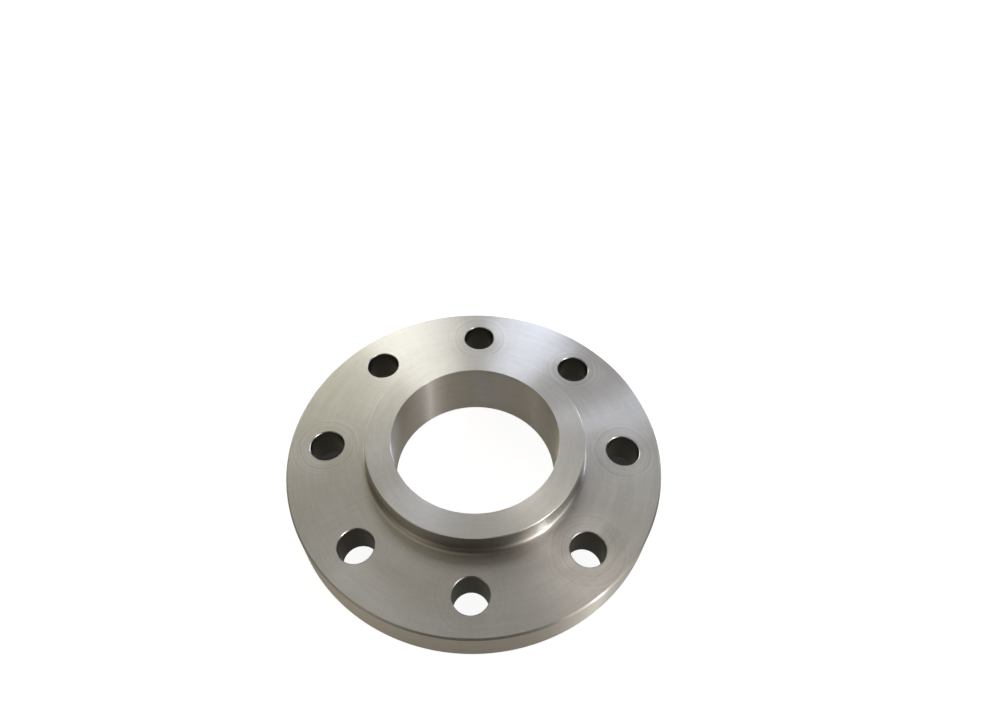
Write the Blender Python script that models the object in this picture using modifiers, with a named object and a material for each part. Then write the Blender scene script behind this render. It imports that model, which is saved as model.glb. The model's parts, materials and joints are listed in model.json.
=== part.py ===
"""Weld neck flange, one turned and drilled forging. Metres, +Z along the bore towards the hub end.

The origin is the centre of the raised gasket face, which is the flange's lowest face. A turned
blank is swept from one closed profile, and eight turned cutters drill the bolt holes through it.
"""

import math

import bpy

MM = 0.001

# Driving dimensions, for nominal size 80 and pressure rating 40
FLANGE_DIAMETER = 200 * MM
FLANGE_THICKNESS = 24 * MM
RAISED_FACE_DIAMETER = 138 * MM
RAISED_FACE_HEIGHT = 3 * MM
HUB_DIAMETER = 116 * MM
OVERALL_HEIGHT = 36 * MM
BORE_DIAMETER = 89 * MM
BOLT_CIRCLE_DIAMETER = 160 * MM
BOLT_HOLE_DIAMETER = 18 * MM
BOLT_HOLE_COUNT = 8

# Edge treatment
HUB_ROOT_RADIUS = 3 * MM
RIM_CHAMFER = 0.9 * MM
HUB_EDGE_CHAMFER = 0.6 * MM
BORE_EDGE_CHAMFER = 0.4 * MM
RAISED_FACE_CHAMFER = 0.3 * MM
HOLE_EDGE_CHAMFER = 0.4 * MM

# Mesh resolution
TURNED_STEPS = 120
HOLE_STEPS = 32
FILLET_SEGMENTS = 6
MERGE_DISTANCE = 0.00001
SHARP_CORNER_ANGLE = math.radians(30)

CUTTER_OVERSHOOT = 5 * MM
CUTTER_FLARE_OVERSHOOT = 0.2 * MM

STAINLESS_COLOR = (0.58, 0.57, 0.54, 1.0)
STAINLESS_ROUGHNESS = 0.32


def clear_scene():
    for scene_object in list(bpy.data.objects):
        bpy.data.objects.remove(scene_object, do_unlink=True)


def make_collection(name):
    collection = bpy.data.collections.new(name)
    bpy.context.scene.collection.children.link(collection)
    return collection


def stainless_steel():
    material = bpy.data.materials.new("machined_stainless")
    material.use_nodes = True
    shader = material.node_tree.nodes["Principled BSDF"]
    shader.inputs["Base Color"].default_value = STAINLESS_COLOR
    shader.inputs["Metallic"].default_value = 1.0
    shader.inputs["Roughness"].default_value = STAINLESS_ROUGHNESS
    return material


def hub_root_fillet():
    """Concave quarter round from the hub's wall out to the ring's bolting face."""
    centre_r = HUB_DIAMETER / 2 + HUB_ROOT_RADIUS
    centre_z = FLANGE_THICKNESS + HUB_ROOT_RADIUS
    points = []
    for i in range(FILLET_SEGMENTS + 1):
        angle = math.radians(180 + 90 * i / FILLET_SEGMENTS)
        r = centre_r + HUB_ROOT_RADIUS * math.cos(angle)
        z = centre_z + HUB_ROOT_RADIUS * math.sin(angle)
        points.append((r, z))
    return points


def flange_profile():
    """Radius and height round the section: over the hub, down the rim, in below, up the bore."""
    bore_r = BORE_DIAMETER / 2
    hub_r = HUB_DIAMETER / 2
    rim_r = FLANGE_DIAMETER / 2
    face_r = RAISED_FACE_DIAMETER / 2
    top = OVERALL_HEIGHT
    ring_top = FLANGE_THICKNESS
    ring_bottom = RAISED_FACE_HEIGHT
    return [
        (bore_r + BORE_EDGE_CHAMFER, top),
        (hub_r - HUB_EDGE_CHAMFER, top),
        (hub_r, top - HUB_EDGE_CHAMFER),
        *hub_root_fillet(),
        (rim_r - RIM_CHAMFER, ring_top),
        (rim_r, ring_top - RIM_CHAMFER),
        (rim_r, ring_bottom + RIM_CHAMFER),
        (rim_r - RIM_CHAMFER, ring_bottom),
        (face_r, ring_bottom),
        (face_r, RAISED_FACE_CHAMFER),
        (face_r - RAISED_FACE_CHAMFER, 0.0),
        (bore_r + BORE_EDGE_CHAMFER, 0.0),
        (bore_r, BORE_EDGE_CHAMFER),
        (bore_r, top - BORE_EDGE_CHAMFER),
    ]


def hole_cutter_profile():
    """Drill outline, which flares at each face of the ring and stays clear of the raised face."""
    hole_r = BOLT_HOLE_DIAMETER / 2
    flared_r = hole_r + HOLE_EDGE_CHAMFER + CUTTER_FLARE_OVERSHOOT
    return [
        (0.0, FLANGE_THICKNESS + CUTTER_OVERSHOOT),
        (flared_r, FLANGE_THICKNESS + CUTTER_OVERSHOOT),
        (flared_r, FLANGE_THICKNESS + CUTTER_FLARE_OVERSHOOT),
        (hole_r, FLANGE_THICKNESS - HOLE_EDGE_CHAMFER),
        (hole_r, RAISED_FACE_HEIGHT + HOLE_EDGE_CHAMFER),
        (flared_r, RAISED_FACE_HEIGHT - CUTTER_FLARE_OVERSHOOT),
        (flared_r, RAISED_FACE_HEIGHT - CUTTER_OVERSHOOT),
        (0.0, RAISED_FACE_HEIGHT - CUTTER_OVERSHOOT),
    ]


def turned_object(name, profile, steps, closed, collection):
    """Object whose section is swept a full turn about its own Z axis."""
    vertices = [(r, 0.0, z) for r, z in profile]
    edges = [(i, i + 1) for i in range(len(profile) - 1)]
    if closed:
        edges.append((len(profile) - 1, 0))
    mesh = bpy.data.meshes.new(name)
    mesh.from_pydata(vertices, edges, [])
    turned = bpy.data.objects.new(name, mesh)
    collection.objects.link(turned)

    screw = turned.modifiers.new("turn", "SCREW")
    screw.axis = "Z"
    screw.angle = math.tau
    screw.steps = steps
    screw.render_steps = steps
    screw.use_merge_vertices = True
    screw.merge_threshold = MERGE_DISTANCE
    return turned


def drill_bolt_holes(blank, collection):
    """One cutter for each bolt hole, the first on +X, evenly round the bolt circle."""
    for i in range(BOLT_HOLE_COUNT):
        angle = math.tau * i / BOLT_HOLE_COUNT
        cutter = turned_object(
            f"bolt_hole_cutter_{i + 1}", hole_cutter_profile(), HOLE_STEPS, False, collection
        )
        cutter.location.x = BOLT_CIRCLE_DIAMETER / 2 * math.cos(angle)
        cutter.location.y = BOLT_CIRCLE_DIAMETER / 2 * math.sin(angle)
        cutter.rotation_euler.z = angle
        cutter.hide_render = True
        cutter.display_type = "WIRE"

        drill = blank.modifiers.new(f"drill_{i + 1}", "BOOLEAN")
        drill.operation = "DIFFERENCE"
        drill.solver = "EXACT"
        drill.object = cutter


def apply_modifiers(scene_object):
    """Swap the object's profile for the turned and drilled mesh that its modifiers make."""
    evaluated = scene_object.evaluated_get(bpy.context.evaluated_depsgraph_get())
    profile_mesh = scene_object.data
    scene_object.data = bpy.data.meshes.new_from_object(evaluated)
    scene_object.modifiers.clear()
    bpy.data.meshes.remove(profile_mesh)


def shade_round_walls(mesh):
    """Smooth shading round the turned and drilled walls, with the real corners kept sharp."""
    mesh.shade_smooth()
    mesh.set_sharp_from_angle(angle=SHARP_CORNER_ANGLE)


def main():
    clear_scene()
    parts = make_collection("weld_neck_flange")
    cutters = make_collection("cutters")

    flange = turned_object("flange_body", flange_profile(), TURNED_STEPS, True, parts)
    flange.data.materials.append(stainless_steel())
    drill_bolt_holes(flange, cutters)
    apply_modifiers(flange)
    shade_round_walls(flange.data)


main()
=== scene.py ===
"""Looks of the weld neck flange: a finely turned and drilled stainless forging on a pale floor.

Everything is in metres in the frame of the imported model, with +Z along the bore to the hub end.
"""

import json
import math

import bpy
from mathutils import Matrix, Vector


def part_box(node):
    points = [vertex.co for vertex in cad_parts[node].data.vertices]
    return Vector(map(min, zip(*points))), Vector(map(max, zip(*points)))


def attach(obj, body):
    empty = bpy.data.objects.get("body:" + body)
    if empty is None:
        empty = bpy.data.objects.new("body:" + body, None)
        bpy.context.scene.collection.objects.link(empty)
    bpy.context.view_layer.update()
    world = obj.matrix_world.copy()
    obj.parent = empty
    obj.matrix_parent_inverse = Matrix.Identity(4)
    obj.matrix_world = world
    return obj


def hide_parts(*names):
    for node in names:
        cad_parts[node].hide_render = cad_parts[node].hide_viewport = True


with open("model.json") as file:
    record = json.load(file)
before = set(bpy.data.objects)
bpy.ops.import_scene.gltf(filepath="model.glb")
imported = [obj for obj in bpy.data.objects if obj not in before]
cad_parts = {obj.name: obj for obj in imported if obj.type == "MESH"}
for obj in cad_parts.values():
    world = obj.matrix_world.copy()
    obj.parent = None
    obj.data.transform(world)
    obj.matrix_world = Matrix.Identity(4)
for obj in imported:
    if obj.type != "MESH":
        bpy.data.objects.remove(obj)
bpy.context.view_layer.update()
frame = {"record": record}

MM = 0.001

# Heights and the rim come from the frame
MOUNTS = {mount["name"]: mount for mount in frame["record"]["mounts"]}
RIM_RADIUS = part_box("flange_body")[1].x
TOP = MOUNTS["weld_end_face"]["pos_m"][2]
RING_TOP = MOUNTS["nut_face"]["pos_m"][2]

# Section, as in the CAD part
RING_BOTTOM = 3 * MM
RAISED_FACE_RADIUS = 69 * MM
HUB_RADIUS = 58 * MM
BORE_RADIUS = 44.5 * MM
HUB_ROOT_RADIUS = 3 * MM
RIM_CHAMFER = 0.9 * MM
HUB_EDGE_CHAMFER = 0.4 * MM
BORE_EDGE_CHAMFER = 0.15 * MM
RAISED_FACE_CHAMFER = 0.3 * MM

# Bolt holes
HOLE_COUNT = 8
BOLT_CIRCLE_RADIUS = 80 * MM
HOLE_RADIUS = 9 * MM
HOLE_EDGE_CHAMFER = 0.4 * MM

# Concentric grooves turned into the gasket face
SERRATION_PITCH = 0.8 * MM
SERRATION_DEPTH = 0.05 * MM

TURNED_STEPS = 360
HOLE_STEPS = 96
FILLET_SEGMENTS = 16
SHARP_CORNER = math.radians(30)
MERGE_DISTANCE = 1e-6
SMALLEST_SQUARE = 1e-9
# Steepest slope of a surface that still counts as a face and not as a wall
STEEPEST_FACE = math.radians(15)
# Upward share of the normal of a broken edge, between that of a wall and that of a face
SLOPING = (0.2, 0.95)
# How far a hole's cutter goes on past the ring's faces, and how far its flares do
CUTTER_OVERSHOOT = 4 * MM
FLARE_OVERSHOOT = 0.2 * MM

# Steel
FACED_COLOUR = (0.60, 0.595, 0.575)
BORED_COLOUR = (0.60, 0.59, 0.57)
# Bolt holes' walls: drilled steel darkened with painted shade of the deep holes
DRILLED_SHADED_COLOUR = (0.07, 0.072, 0.063)
# The render's noise filter takes smoother steel for a mirror, and leaves blotches on it
LOWEST_ROUGHNESS = 0.28
# Turns the stretched highlight a quarter round, so that it runs out across the grooves
ACROSS_THE_GROOVES = 0.25

# Streaks of turned steel: noise scale across the grooves, scale round them, and detail
BANDS = (300.0, 1.2, 2.0)
HAIRS = (900.0, 7.0, 1.0)
RAYS = (25.0, 60.0, 2.0)
# Even noises: scale and detail
CLOUDS = (28.0, 4.0)
NICKS = (400.0, 2.0)
# Feed marks of the drill: scale across the hole, scale down it, and detail
FEED_MARKS = (60.0, 2500.0, 2.0)

# How far each noise changes the tint, as a share of the colour
BAND_TINT = 0.02
HAIR_TINT = 0.03
RAY_TINT = 0.02
CLOUD_TINT = 0.03
NICK_TINT = 0.25
FEED_TINT = 0.12
# How far each noise changes the roughness
BAND_ROUGHNESS = 0.01
RAY_ROUGHNESS = 0.01
CLOUD_ROUGHNESS = 0.02
NICK_ROUGHNESS = 0.05
FEED_ROUGHNESS = 0.05

DRILLED_ROUGHNESS = 0.36
DEBURRED_ROUGHNESS = 0.34
FEED_BUMP_STRENGTH = 0.15
FEED_BUMP_HEIGHT = 0.03 * MM

# Scuffed rings round the bolt holes, which fade out towards this radius
SCUFF_RADIUS = 23 * MM
SCUFF_FADE = 0.65
# How far the groove direction turns from the lathe's circles towards the hole's
SCUFF_TURN = 0.2
# Rings: noise scale outwards from the hole, and how far they wander from true circles
SCUFF_RINGS = 700.0
SCUFF_WOBBLE = 0.7 * MM
WOBBLE_NOISE = (50.0, 1.0)
# Noise that breaks the rings into arcs, and the least that is left of them in a gap
ARC_NOISE = (90.0, 2.0)
ARC_RANGE = (0.3, 0.6)
ARC_LEAST = 0.3
# Step along the noise from one hole to the next, so that no two have the same rings
RING_STEP = 7.0
# The rings are fainter close to the hole, up to this many of its radii
INNER_SCUFF_REACH = 1.5
INNER_SCUFF_SHARE = 0.3
SCUFF_TINT = 0.16
SCUFF_POLISH = 0.015
# How scuffed each hole's surround is, the first on +X and then anticlockwise
SCUFF_STRENGTHS = (0.8, 0.8, 0.7, 0.3, 0.8, 0.3, 0.3, 1.0)

# Stage
STAGE_RADIUS = 5.0
DOME_RADIUS = 4.9
FLOOR_HEIGHT = -0.5 * MM
FLOOR_COLOUR = (0.35, 0.35, 0.35)
FLOOR_GLOW = (0.92, 0.92, 0.92)
# How dark the painted shade on the floor is
FLOOR_PAINTED_SHADE = 0.97
# Each pair is where a part of the floor's painted shade starts and where it is full
SHADE_FROM_BORE = (BORE_RADIUS, HUB_RADIUS)
SHADE_FROM_RIM = (RIM_RADIUS - 2 * MM, RIM_RADIUS - 8 * MM)
# These two bound the patch below a hole that the painted shade leaves bright: distance from the hole,
# and from the flange's axis
LIT_BELOW_HOLE = (1.7 * HOLE_RADIUS, 1.35 * HOLE_RADIUS)
LIT_INSIDE_RIM = (RIM_RADIUS - 9 * MM, RIM_RADIUS - 14 * MM)
# A hole's back part, where the painted shade stays, and the holes that have one, from the front of the
# ring to its back
SHADE_BEHIND_HOLE = (0.35 * HOLE_RADIUS, 0.65 * HOLE_RADIUS)
FAR_HALF = (-35 * MM, -20 * MM)
BENCH_HEIGHT = -1 * MM
BENCH_COLOUR = (0.62, 0.57, 0.50)
BENCH_GLOW = (0.19, 0.18, 0.16)
DOME_COLOUR = (0.0, 0.0, 0.0)
DOME_GLOW = (1.0, 1.0, 1.0)
DULL_ROUGHNESS = 0.9
DISK_STEPS = 96


# ---------------------------------------------------------------- geometry


def arc(centre_r, centre_z, radius, start, end, segments):
    """Points of a circular arc in the section plane, with angles in degrees."""
    points = []
    for i in range(segments + 1):
        angle = math.radians(start + (end - start) * i / segments)
        points.append((centre_r + radius * math.cos(angle), centre_z + radius * math.sin(angle)))
    return points


def serrations(outer_r, inner_r):
    """Shallow grooves from the outer radius inwards, cut up into the face at height 0."""
    count = int((outer_r - inner_r) / SERRATION_PITCH)
    margin = (outer_r - inner_r - count * SERRATION_PITCH) / 2
    points = []
    for i in range(count):
        crest = outer_r - margin - i * SERRATION_PITCH
        points.append((crest, 0.0))
        points.append((crest - SERRATION_PITCH / 2, SERRATION_DEPTH))
    points.append((outer_r - margin - count * SERRATION_PITCH, 0.0))
    return points


def flange_section():
    """Closed outline of the turned blank: over the hub, down the rim, in below, up the bore."""
    root_r = HUB_RADIUS + HUB_ROOT_RADIUS
    root_z = RING_TOP + HUB_ROOT_RADIUS
    grooves_outer_r = RAISED_FACE_RADIUS - 2 * RAISED_FACE_CHAMFER
    grooves_inner_r = BORE_RADIUS + 2 * BORE_EDGE_CHAMFER
    return [
        (BORE_RADIUS + BORE_EDGE_CHAMFER, TOP),
        (HUB_RADIUS - HUB_EDGE_CHAMFER, TOP),
        (HUB_RADIUS, TOP - HUB_EDGE_CHAMFER),
        *arc(root_r, root_z, HUB_ROOT_RADIUS, 180, 270, FILLET_SEGMENTS),
        (RIM_RADIUS - RIM_CHAMFER, RING_TOP),
        (RIM_RADIUS, RING_TOP - RIM_CHAMFER),
        (RIM_RADIUS, RING_BOTTOM + RIM_CHAMFER),
        (RIM_RADIUS - RIM_CHAMFER, RING_BOTTOM),
        (RAISED_FACE_RADIUS, RING_BOTTOM),
        (RAISED_FACE_RADIUS, RAISED_FACE_CHAMFER),
        (RAISED_FACE_RADIUS - RAISED_FACE_CHAMFER, 0.0),
        *serrations(grooves_outer_r, grooves_inner_r),
        (BORE_RADIUS + BORE_EDGE_CHAMFER, 0.0),
        (BORE_RADIUS, BORE_EDGE_CHAMFER),
        (BORE_RADIUS, TOP - BORE_EDGE_CHAMFER),
    ]


def hole_section():
    """Outline of the drill, which flares at both faces of the ring to break the hole's edges."""
    flared = HOLE_RADIUS + HOLE_EDGE_CHAMFER + FLARE_OVERSHOOT
    return [
        (0.0, RING_TOP + CUTTER_OVERSHOOT),
        (flared, RING_TOP + CUTTER_OVERSHOOT),
        (flared, RING_TOP + FLARE_OVERSHOOT),
        (HOLE_RADIUS, RING_TOP - HOLE_EDGE_CHAMFER),
        (HOLE_RADIUS, RING_BOTTOM + HOLE_EDGE_CHAMFER),
        (flared, RING_BOTTOM - FLARE_OVERSHOOT),
        (flared, RING_BOTTOM - CUTTER_OVERSHOOT),
        (0.0, RING_BOTTOM - CUTTER_OVERSHOOT),
    ]


def turned(name, section, steps, closed):
    """Object whose section is swept a full turn about the Z axis."""
    mesh = bpy.data.meshes.new(name)
    edges = [(i, i + 1) for i in range(len(section) - 1)]
    if closed:
        edges.append((len(section) - 1, 0))
    mesh.from_pydata([(r, 0.0, z) for r, z in section], edges, [])
    turned_object = bpy.data.objects.new(name, mesh)
    bpy.context.scene.collection.objects.link(turned_object)

    screw = turned_object.modifiers.new("turn", "SCREW")
    screw.axis = "Z"
    screw.steps = steps
    screw.render_steps = steps
    screw.use_merge_vertices = True
    screw.merge_threshold = MERGE_DISTANCE
    return turned_object


def apply_modifiers(scene_object):
    """Swap the object's mesh for the one that its modifiers make."""
    evaluated = scene_object.evaluated_get(bpy.context.evaluated_depsgraph_get())
    old_mesh = scene_object.data
    scene_object.data = bpy.data.meshes.new_from_object(evaluated)
    scene_object.modifiers.clear()
    bpy.data.meshes.remove(old_mesh)


def drill_holes(blank, drilled, deburred):
    """Cut the bolt holes. Their walls and edges take the two materials that the cutters carry."""
    for i in range(HOLE_COUNT):
        cutter = turned("cutter", hole_section(), HOLE_STEPS, False)
        cutter.data.materials.append(drilled)
        cutter.data.materials.append(deburred)
        apply_modifiers(cutter)
        for polygon in cutter.data.polygons:
            polygon.material_index = int(SLOPING[0] < abs(polygon.normal.z) < SLOPING[1])
        turn = Matrix.Rotation(math.tau * i / HOLE_COUNT, 4, "Z")
        cutter.matrix_world = turn @ Matrix.Translation((BOLT_CIRCLE_RADIUS, 0, 0))
        drill = blank.modifiers.new("drill", "BOOLEAN")
        drill.operation = "DIFFERENCE"
        drill.solver = "EXACT"
        drill.material_mode = "TRANSFER"
        drill.object = cutter
        bpy.context.view_layer.update()
        apply_modifiers(blank)
        bpy.data.objects.remove(cutter, do_unlink=True)


def finish_at(polygon):
    """Which finish a face of the turned blank has, from where it is on the section."""
    radius = math.hypot(polygon.center.x, polygon.center.y)
    height = polygon.center.z
    if abs(polygon.normal.z) > math.cos(STEEPEST_FACE):
        return "faced"
    if radius < BORE_RADIUS + BORE_EDGE_CHAMFER:
        return "bored"
    if height > RING_TOP:
        return "hub_side"
    return "rim"


def make_flange(finishes):
    """The turned and drilled forging, with each surface in the finish that its tool left."""
    names = list(finishes)
    flange = turned("flange_visual", flange_section(), TURNED_STEPS, True)
    for name in names:
        flange.data.materials.append(finishes[name])
    apply_modifiers(flange)
    for polygon in flange.data.polygons:
        polygon.material_index = names.index(finish_at(polygon))
    drill_holes(flange, finishes["drilled"], finishes["deburred"])
    flange.data.shade_smooth()
    flange.data.set_sharp_from_angle(angle=SHARP_CORNER)
    weighted = flange.modifiers.new("flat_faces", "WEIGHTED_NORMAL")
    weighted.keep_sharp = True
    return flange


# ---------------------------------------------------------------- materials


class Graph:
    """Short forms for building the nodes of a material or of the world."""

    def __init__(self, owner, shader_name="Principled BSDF"):
        owner.use_nodes = True
        self.owner = owner
        self.tree = owner.node_tree
        self.shader = self.tree.nodes[shader_name]

    def add(self, kind):
        """New node of this kind."""
        return self.tree.nodes.new(kind)

    def feed(self, socket, value):
        """Link a socket's value into another socket, or set a plain value on it."""
        if isinstance(value, bpy.types.NodeSocket):
            self.tree.links.new(value, socket)
        else:
            socket.default_value = value

    def set(self, name, value):
        """Feed the shader's input of this name."""
        self.feed(self.shader.inputs[name], value)

    def math(self, operation, *values):
        made = self.add("ShaderNodeMath")
        made.operation = operation
        for socket, value in zip(made.inputs, values):
            self.feed(socket, value)
        return made.outputs[0]

    def product(self, *values):
        result = values[0]
        for value in values[1:]:
            result = self.math("MULTIPLY", result, value)
        return result

    def total(self, *values):
        result = values[0]
        for value in values[1:]:
            result = self.math("ADD", result, value)
        return result

    def length(self, x, y):
        return self.math("SQRT", self.math("ADD", self.product(x, x), self.product(y, y)))

    def combine(self, x, y, z):
        made = self.add("ShaderNodeCombineXYZ")
        for socket, value in zip(made.inputs, (x, y, z)):
            self.feed(socket, value)
        return made.outputs[0]

    def ramp(self, value, low, high, out_low=0.0, out_high=1.0):
        """Value mapped from low..high to out_low..out_high with eased ends."""
        made = self.add("ShaderNodeMapRange")
        made.interpolation_type = "SMOOTHSTEP"
        for socket, entry in zip(made.inputs, (value, low, high, out_low, out_high)):
            self.feed(socket, entry)
        return made.outputs[0]

    def noise(self, vector, scale, detail):
        made = self.add("ShaderNodeTexNoise")
        self.feed(made.inputs["Vector"], vector)
        made.inputs["Scale"].default_value = scale
        made.inputs["Detail"].default_value = detail
        return made.outputs["Fac"]

    def swing(self, value, size):
        """Noise, which is mostly from 0.25 to 0.75, as a change of minus size to plus size."""
        return self.ramp(value, 0.25, 0.75, -size, size)

    def scale(self, colour, amount):
        """Colour times an amount."""
        made = self.add("ShaderNodeVectorMath")
        made.operation = "SCALE"
        made.inputs[0].default_value = colour
        self.feed(made.inputs["Scale"], amount)
        return made.outputs[0]

    def tint(self, colour, change):
        """Colour made lighter or darker by a small change, as a share of it."""
        return self.scale(colour, self.math("ADD", 1.0, change))


class TurnedCoordinates:
    """Where a point is on a turned part, from its place in the part's own frame."""

    def __init__(self, g):
        self.place = g.add("ShaderNodeTexCoord").outputs["Object"]
        split = g.add("ShaderNodeSeparateXYZ")
        g.feed(split.inputs[0], self.place)
        self.x, self.y, self.z = split.outputs
        self.radius = g.length(self.x, self.y)
        # Runs across the grooves on the flat faces and on the round walls alike
        self.across = g.math("ADD", self.radius, self.z)
        self.cos = g.math("DIVIDE", self.x, self.radius)
        self.sin = g.math("DIVIDE", self.y, self.radius)

    def streaks(self, g, across, around, detail):
        """Noise drawn out round the axis, or away from it, by its two scales."""
        place = g.combine(
            g.product(self.across, across), g.product(self.cos, around), g.product(self.sin, around)
        )
        return g.noise(place, 1.0, detail)

    def nearest_hole(self, g):
        """Number of the nearest bolt hole, counted from +X, and the offsets from its axis."""
        step = math.tau / HOLE_COUNT
        number = g.math("ROUND", g.math("DIVIDE", g.math("ARCTAN2", self.y, self.x), step))
        angle = g.math("MULTIPLY", number, step)
        off_x = g.math("SUBTRACT", self.x, g.product(g.math("COSINE", angle), BOLT_CIRCLE_RADIUS))
        off_y = g.math("SUBTRACT", self.y, g.product(g.math("SINE", angle), BOLT_CIRCLE_RADIUS))
        return number, off_x, off_y


def finish_steel(g, at, colour, roughness, anisotropy, streaks=1.0, extra_tint=0.0, extra_roughness=0.0):
    """Give the shader the colour, gloss and stretched highlights of steel turned on a lathe."""
    bands = at.streaks(g, *BANDS)
    hairs = at.streaks(g, *HAIRS)
    rays = at.streaks(g, *RAYS)
    clouds = g.noise(at.place, *CLOUDS)

    tint = g.total(
        g.swing(bands, BAND_TINT * streaks),
        g.swing(hairs, HAIR_TINT * streaks),
        g.swing(rays, RAY_TINT),
        g.swing(clouds, CLOUD_TINT),
        extra_tint,
    )
    rough = g.total(
        roughness,
        g.swing(bands, BAND_ROUGHNESS * streaks),
        g.swing(rays, RAY_ROUGHNESS),
        g.swing(clouds, CLOUD_ROUGHNESS),
        extra_roughness,
    )
    g.set("Base Color", g.tint(colour, tint))
    g.set("Metallic", 1.0)
    g.set("Roughness", g.math("MAXIMUM", rough, LOWEST_ROUGHNESS))
    g.set("Anisotropic", anisotropy)
    g.set("Anisotropic Rotation", ACROSS_THE_GROOVES)


def turned_steel(name, colour, roughness, anisotropy, streaks=1.0):
    """Steel with the fine circular grooves of the lathe, which draw highlights out across them."""
    g = Graph(bpy.data.materials.new(name))
    finish_steel(g, TurnedCoordinates(g), colour, roughness, anisotropy, streaks)
    tangent = g.add("ShaderNodeTangent")
    tangent.direction_type = "RADIAL"
    tangent.axis = "Z"
    g.set("Tangent", tangent.outputs[0])
    return g.owner


def scuff_strength(g, number):
    """How scuffed the surround of the hole with this number is."""
    strength = g.add("ShaderNodeValToRGB")
    strength.color_ramp.interpolation = "CONSTANT"
    stops = strength.color_ramp.elements
    for i, amount in enumerate(SCUFF_STRENGTHS):
        stop = stops[i] if i < 2 else stops.new(i / HOLE_COUNT)
        stop.position = i / HOLE_COUNT
        stop.color = (amount, amount, amount, 1.0)
    turn = g.math("FRACT", g.math("DIVIDE", g.math("ADD", number, HOLE_COUNT + 0.5), HOLE_COUNT))
    g.feed(strength.inputs[0], turn)
    return strength.outputs[0]


def scuffed_tangent(g, at, off_x, off_y, share):
    """Direction of the grooves, turned by a share of the way to circles round the nearest hole."""
    outward = g.math("ADD", g.product(off_x, at.cos), g.product(off_y, at.sin))
    along = g.math("SUBTRACT", g.product(off_y, at.cos), g.product(off_x, at.sin))
    distance = g.length(off_x, off_y)
    square = g.math("MAXIMUM", g.product(distance, distance), SMALLEST_SQUARE)
    # A groove has no front end, so its direction is mixed by way of doubled angles
    difference = g.math("SUBTRACT", g.product(outward, outward), g.product(along, along))
    cos_double = g.math("DIVIDE", difference, square)
    sin_double = g.math("DIVIDE", g.product(outward, along, -2.0), square)
    mixed_sin = g.product(share, sin_double)
    mixed_cos = g.math("ADD", g.math("SUBTRACT", 1.0, share), g.product(share, cos_double))
    turn = g.product(0.5, g.math("ARCTAN2", mixed_sin, mixed_cos))
    cos_turn = g.math("COSINE", turn)
    sin_turn = g.math("SINE", turn)
    tangent_x = g.math("SUBTRACT", g.product(sin_turn, at.cos), g.product(cos_turn, at.sin))
    tangent_y = g.math("ADD", g.product(cos_turn, at.cos), g.product(sin_turn, at.sin))
    return g.combine(tangent_x, tangent_y, 0.0)


def faced_steel(name, colour, roughness, anisotropy):
    """Turned steel of the faces, with the scuffed rings that deburring left round the holes."""
    g = Graph(bpy.data.materials.new(name))
    at = TurnedCoordinates(g)
    number, off_x, off_y = at.nearest_hole(g)
    distance = g.length(off_x, off_y)
    scuffed = g.ramp(distance, SCUFF_RADIUS, SCUFF_FADE * SCUFF_RADIUS)
    amount = g.product(scuffed, scuff_strength(g, number))
    g.set("Tangent", scuffed_tangent(g, at, off_x, off_y, g.product(amount, SCUFF_TURN)))

    wobbly = g.math("ADD", distance, g.swing(g.noise(at.place, *WOBBLE_NOISE), SCUFF_WOBBLE))
    ring_place = g.combine(g.product(wobbly, SCUFF_RINGS), g.product(number, RING_STEP), 0.0)
    rings = g.swing(g.noise(ring_place, 1.0, 1.0), 1.0)
    arcs = g.ramp(g.noise(at.place, *ARC_NOISE), *ARC_RANGE, ARC_LEAST, 1.0)
    spread = g.ramp(distance, HOLE_RADIUS, INNER_SCUFF_REACH * HOLE_RADIUS, INNER_SCUFF_SHARE, 1.0)
    marks = g.product(amount, spread, rings, arcs)
    tint = g.product(marks, SCUFF_TINT)
    polish = g.product(marks, -SCUFF_POLISH)
    finish_steel(g, at, colour, roughness, anisotropy, extra_tint=tint, extra_roughness=polish)
    return g.owner


def drilled_shaded_steel():
    """Wall of a bolt hole, darkened with painted shade of the deep hole, with the feed marks of the
    drill round it.
    """
    g = Graph(bpy.data.materials.new("drilled_shaded_steel"))
    at = TurnedCoordinates(g)
    across, down, detail = FEED_MARKS
    place = g.combine(g.product(at.x, across), g.product(at.y, across), g.product(at.z, down))
    marks = g.noise(place, 1.0, detail)
    g.set("Base Color", g.tint(DRILLED_SHADED_COLOUR, g.swing(marks, FEED_TINT)))
    g.set("Metallic", 1.0)
    g.set("Roughness", g.math("ADD", DRILLED_ROUGHNESS, g.swing(marks, FEED_ROUGHNESS)))
    bump = g.add("ShaderNodeBump")
    g.feed(bump.inputs["Strength"], FEED_BUMP_STRENGTH)
    g.feed(bump.inputs["Distance"], FEED_BUMP_HEIGHT)
    g.feed(bump.inputs["Height"], marks)
    g.set("Normal", bump.outputs[0])
    return g.owner


def deburred_steel():
    """Bright broken edge of a bolt hole."""
    g = Graph(bpy.data.materials.new("deburred_steel"))
    at = TurnedCoordinates(g)
    nicks = g.noise(at.place, *NICKS)
    g.set("Base Color", g.tint(FACED_COLOUR, g.swing(nicks, NICK_TINT)))
    g.set("Metallic", 1.0)
    g.set("Roughness", g.math("ADD", DEBURRED_ROUGHNESS, g.swing(nicks, NICK_ROUGHNESS)))
    return g.owner


# ---------------------------------------------------------------- stage


def plain(name, colour, glow):
    """Dull material that also gives off a glow of its own."""
    g = Graph(bpy.data.materials.new(name))
    g.set("Base Color", (*colour, 1.0))
    g.set("Roughness", DULL_ROUGHNESS)
    g.set("Specular IOR Level", 0.0)
    g.set("Emission Color", (*glow, 1.0))
    g.set("Emission Strength", 1.0)
    return g.owner


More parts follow.
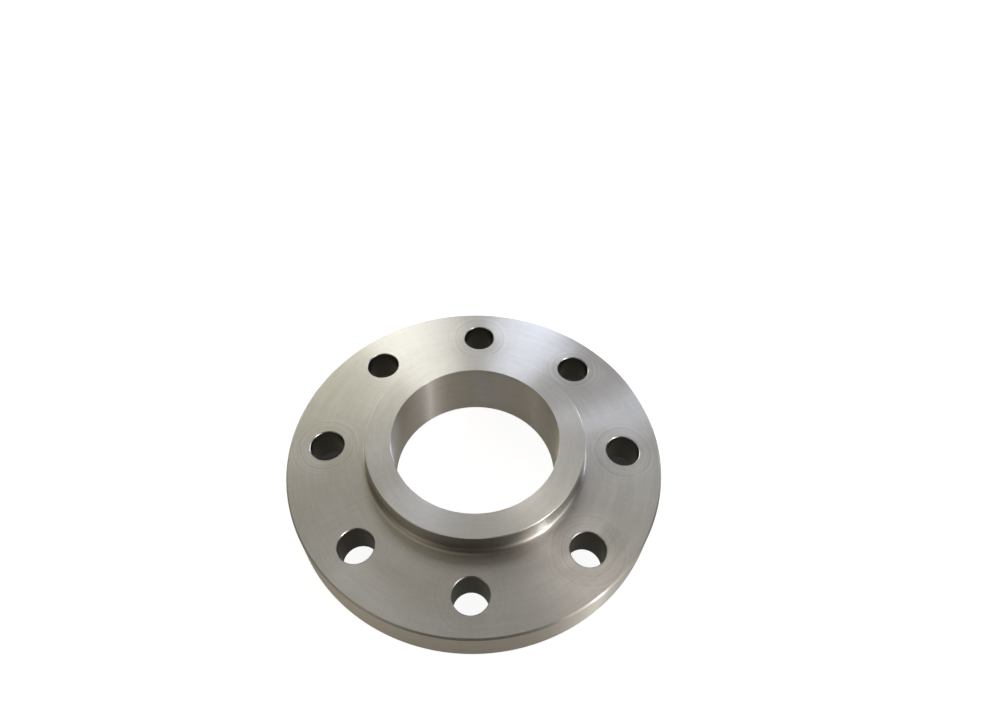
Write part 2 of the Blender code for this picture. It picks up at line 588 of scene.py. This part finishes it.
def pale_floor():
    """Bright plain floor with painted shade under the ring, left out below each bolt hole.

    Behind each of the far holes the painted shade stays, so the main view sees no floor through them.
    """
    g = Graph(plain("pale_floor", FLOOR_COLOUR, FLOOR_GLOW))
    at = TurnedCoordinates(g)
    _, off_x, off_y = at.nearest_hole(g)
    under_ring = g.product(g.ramp(at.radius, *SHADE_FROM_BORE), g.ramp(at.radius, *SHADE_FROM_RIM))
    below_hole = g.ramp(g.length(off_x, off_y), *LIT_BELOW_HOLE)
    inside_rim = g.ramp(at.radius, *LIT_INSIDE_RIM)
    behind_far_hole = g.product(g.ramp(off_y, *SHADE_BEHIND_HOLE), g.ramp(at.y, *FAR_HALF))
    in_front = g.math("SUBTRACT", 1.0, behind_far_hole)
    covered = g.math("SUBTRACT", 1.0, g.product(below_hole, inside_rim, in_front))
    # Painted shade: the floor's colour and glow are darkened under the ring, as a contact shadow, and
    # behind the far holes
    after_painted_shade = g.math("SUBTRACT", 1.0, g.product(under_ring, covered, FLOOR_PAINTED_SHADE))
    g.set("Base Color", g.scale(FLOOR_COLOUR, after_painted_shade))
    g.set("Emission Color", g.scale(FLOOR_GLOW, after_painted_shade))
    return g.owner


def stage_disk(name, height, material):
    """Level disk far wider than the flange."""
    bpy.ops.mesh.primitive_circle_add(
        vertices=DISK_STEPS, radius=STAGE_RADIUS, fill_type="NGON", location=(0, 0, height)
    )
    disk = bpy.context.object
    disk.name = name
    disk.data.materials.append(material)
    return disk


def make_stage():
    """Floor and dome that only the camera sees, and the bench top that the flange reflects."""
    floor = stage_disk("floor", FLOOR_HEIGHT, pale_floor())
    floor.visible_glossy = False
    floor.visible_diffuse = False
    floor.visible_shadow = False

    bench = stage_disk("bench", BENCH_HEIGHT, plain("bench_top", BENCH_COLOUR, BENCH_GLOW))
    bench.visible_camera = False

    bpy.ops.mesh.primitive_uv_sphere_add(segments=48, ring_count=24, radius=DOME_RADIUS)
    dome = bpy.context.object
    dome.name = "dome"
    dome.data.materials.append(plain("pale_dome", DOME_COLOUR, DOME_GLOW))
    dome.visible_diffuse = False
    dome.visible_glossy = False
    dome.visible_transmission = False
    dome.visible_shadow = False


# Each light's azimuth and elevation in degrees, width in metres, watts and colour
STUDIO_LIGHTS = {
    "window": (79, 19, 0.5, 8.0, (0.75, 0.81, 1.0)),
    "right_low": (47, 20, 0.35, 4.6, (0.78, 0.84, 1.0)),
    "right_wide": (25, 20, 0.5, 1.3, (0.90, 0.95, 1.0)),
    "back": (104, 35, 0.42, 1.5, (1.0, 1.0, 0.98)),
    "back_high": (95, 52, 0.5, 0.5, (1.0, 1.0, 1.0)),
    "front_right": (320, 35, 0.5, 1.4, (1.0, 0.84, 0.77)),
    "lamp": (328, 30, 0.06, 2.5, (1.0, 1.0, 1.0)),
    "overhead": (5, 66, 0.6, 0.7, (1.0, 0.82, 0.70)),
}
LIGHT_DISTANCE = 1.6

# Soft glows of the room: azimuth and elevation in degrees, sharpness and colour
ROOM_GLOWS = {
    "back_left": (120, 12, 14, (4.3, 4.2, 3.4)),
    "back_right": (60, 38, 14, (0.60, 0.62, 0.69)),
    "back_above": (90, 65, 14, (0.14, 0.12, 0.10)),
    "front_right": (330, 12, 14, (2.0, 1.95, 1.85)),
    "left_front": (220, 12, 14, (0.40, 0.33, 0.26)),
    "left": (140, 38, 14, (0.25, 0.22, 0.12)),
    "left_above": (180, 65, 14, (0.40, 0.38, 0.30)),
    "even": (0, 90, 0, (0.040, 0.033, 0.026)),
}


def direction(azimuth, elevation):
    """Unit vector from the flange, with the azimuth anticlockwise from +X."""
    around = math.radians(azimuth)
    up = math.radians(elevation)
    return Vector((math.cos(around) * math.cos(up), math.sin(around) * math.cos(up), math.sin(up)))


def make_lights():
    """Disk lamps that all face the flange's centre."""
    for name, (azimuth, elevation, width, watts, colour) in STUDIO_LIGHTS.items():
        towards = direction(azimuth, elevation)
        data = bpy.data.lights.new(name, "AREA")
        data.shape = "DISK"
        data.size = width
        data.energy = watts
        data.color = colour
        light = bpy.data.objects.new(name, data)
        light.location = towards * LIGHT_DISTANCE
        light.rotation_mode = "QUATERNION"
        light.rotation_quaternion = towards.to_track_quat("Z", "Y")
        light.visible_camera = False
        bpy.context.scene.collection.objects.link(light)


def make_room():
    """World whose glow is the sum of a few soft lobes."""
    world = bpy.data.worlds.new("room")
    g = Graph(world, "Background")
    towards = g.add("ShaderNodeTexCoord").outputs["Generated"]
    glow = None
    for azimuth, elevation, sharpness, colour in ROOM_GLOWS.values():
        facing = g.add("ShaderNodeVectorMath")
        facing.operation = "DOT_PRODUCT"
        g.feed(facing.inputs[0], towards)
        facing.inputs[1].default_value = direction(azimuth, elevation)
        lobe = g.math("POWER", g.math("MAXIMUM", facing.outputs["Value"], 0.0), sharpness)
        scaled = g.scale(colour, lobe)
        if glow is None:
            glow = scaled
            continue
        both = g.add("ShaderNodeVectorMath")
        g.feed(both.inputs[0], glow)
        g.feed(both.inputs[1], scaled)
        glow = both.outputs[0]
    g.set("Color", glow)
    bpy.context.scene.world = world


# Place in radii of the rim from the centre of the ring's face, then aim, all angles in degrees
CAMERA_DISTANCE = 3.615
CAMERA_AZIMUTH = 1.877
CAMERA_ELEVATION = 57.779
CAMERA_PAN = 1.478
CAMERA_TILT = 49.932
CAMERA_ROLL = 2.256
CAMERA_LENS = 23.80
SENSOR_WIDTH = 36.0


def make_camera():
    """Camera above and in front of the flange, where the photo's was."""
    data = bpy.data.cameras.new("camera")
    data.lens = CAMERA_LENS
    data.sensor_width = SENSOR_WIDTH
    camera = bpy.data.objects.new("camera", data)
    azimuth = math.radians(CAMERA_AZIMUTH)
    elevation = math.radians(CAMERA_ELEVATION)
    back = Vector((
        math.sin(azimuth) * math.cos(elevation),
        -math.cos(azimuth) * math.cos(elevation),
        math.sin(elevation),
    ))
    camera.location = Vector((0, 0, RING_TOP)) + back * CAMERA_DISTANCE * RIM_RADIUS
    camera.rotation_mode = "QUATERNION"
    pan = math.radians(CAMERA_PAN)
    tilt = math.radians(CAMERA_TILT)
    look = Vector((math.sin(pan) * math.cos(tilt), math.cos(pan) * math.cos(tilt), -math.sin(tilt)))
    roll = Matrix.Rotation(math.radians(CAMERA_ROLL), 4, "Z").to_quaternion()
    camera.rotation_quaternion = look.to_track_quat("-Z", "Y") @ roll
    bpy.context.scene.collection.objects.link(camera)
    bpy.context.scene.camera = camera


def main():
    # Turned finishes take a colour, a roughness, how stretched the highlights are, and streaks
    flange = make_flange({
        "faced": faced_steel("faced_steel", FACED_COLOUR, 0.30, 0.9),
        "bored": turned_steel("bored_steel", BORED_COLOUR, 0.36, 1.0),
        "hub_side": turned_steel("hub_side_steel", FACED_COLOUR, 0.29, 0.8, 0.5),
        "rim": turned_steel("rim_steel", FACED_COLOUR, 0.36, 1.0),
        "drilled": drilled_shaded_steel(),
        "deburred": deburred_steel(),
    })
    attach(flange, "root")
    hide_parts("flange_body")
    make_stage()
    make_lights()
    make_room()
    make_camera()
    bpy.context.scene.view_settings.view_transform = "Standard"


main()
